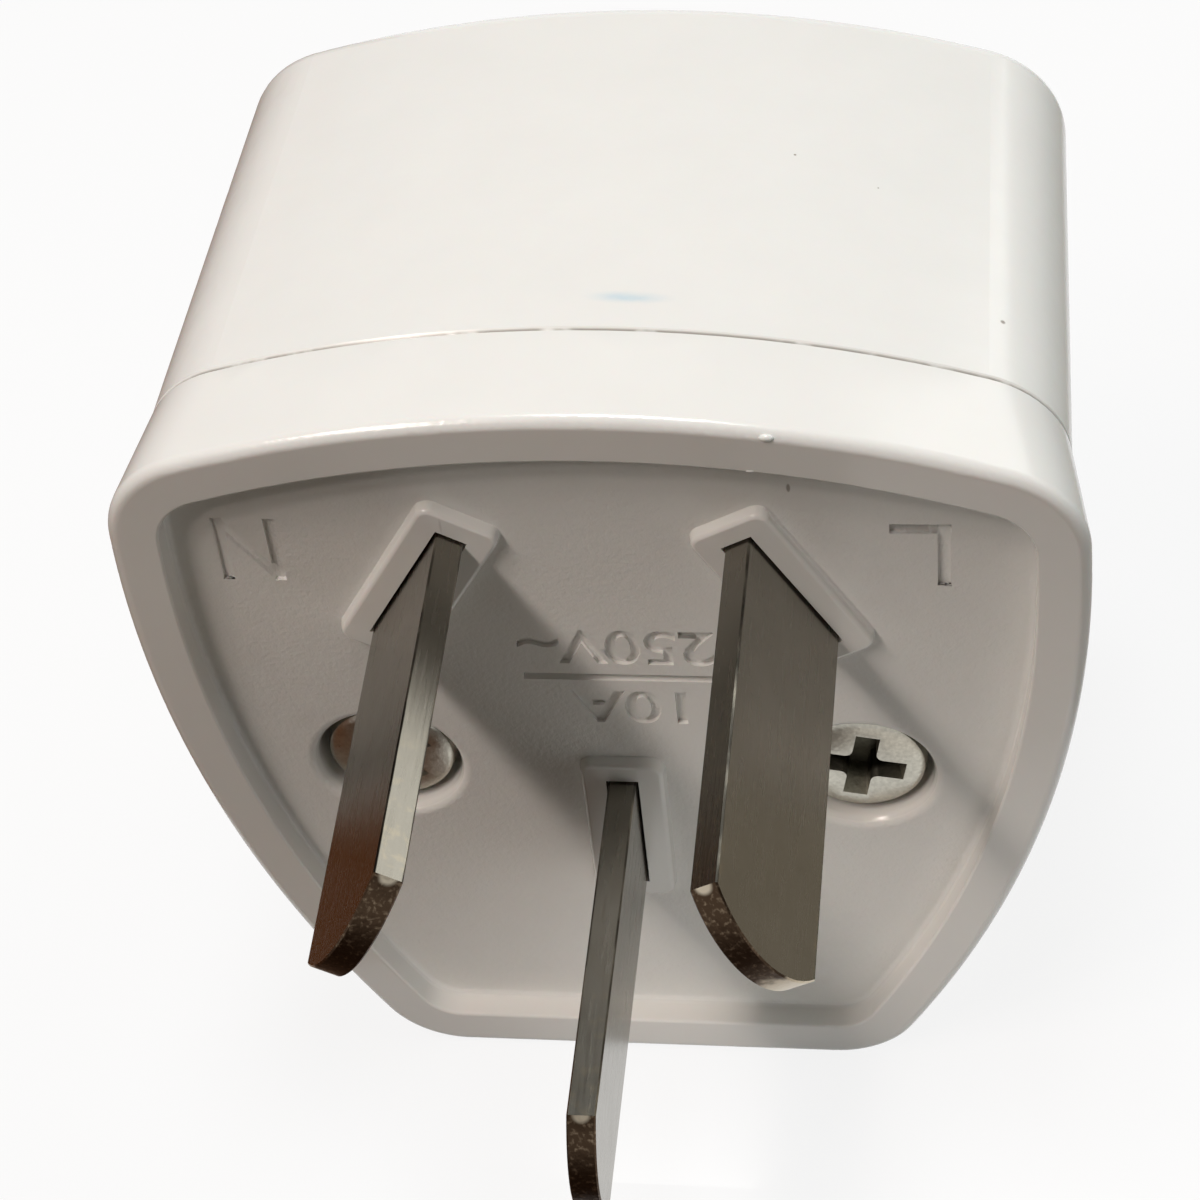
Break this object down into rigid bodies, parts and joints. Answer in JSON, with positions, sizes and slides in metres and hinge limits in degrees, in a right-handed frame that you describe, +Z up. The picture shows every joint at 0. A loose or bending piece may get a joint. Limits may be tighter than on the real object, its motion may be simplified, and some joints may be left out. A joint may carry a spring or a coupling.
{
  "type": "plug adapter",
  "caption": "Mains plug adapter: shield-shaped white moulded body with flat blades on a recessed plug face and a universal socket face at the back.",
  "frame": {"origin": "centre of the blade pattern, in the plane of the plug face's rim", "axes": "+Z up with the wide curved side on top and the narrow flat side below, +Y from the plug face to the socket face, so the blades point to -Y"},
  "size_m": [0.0364, 0.0423, 0.0379],
  "materials": {
    "shell_plastic": "glossy warm white",
    "cover_plastic": "glossy rim, fine-textured recess, warm white",
    "blade_metal": "nickel-plated, brushed",
    "contact_metal": "bare spring brass",
    "screw_metal": "zinc-plated"
  },
  "bodies": {
    "root": {"socket_housing": "shell_plastic", "plug_base": "cover_plastic", "live_pin": "blade_metal", "neutral_pin": "blade_metal", "earth_pin": "blade_metal", "live_contact": "contact_metal", "neutral_contact": "contact_metal", "earth_contact": "contact_metal", "contact_rivets": "contact_metal", "housing_screws": "screw_metal"}
  },
  "joints": []
}
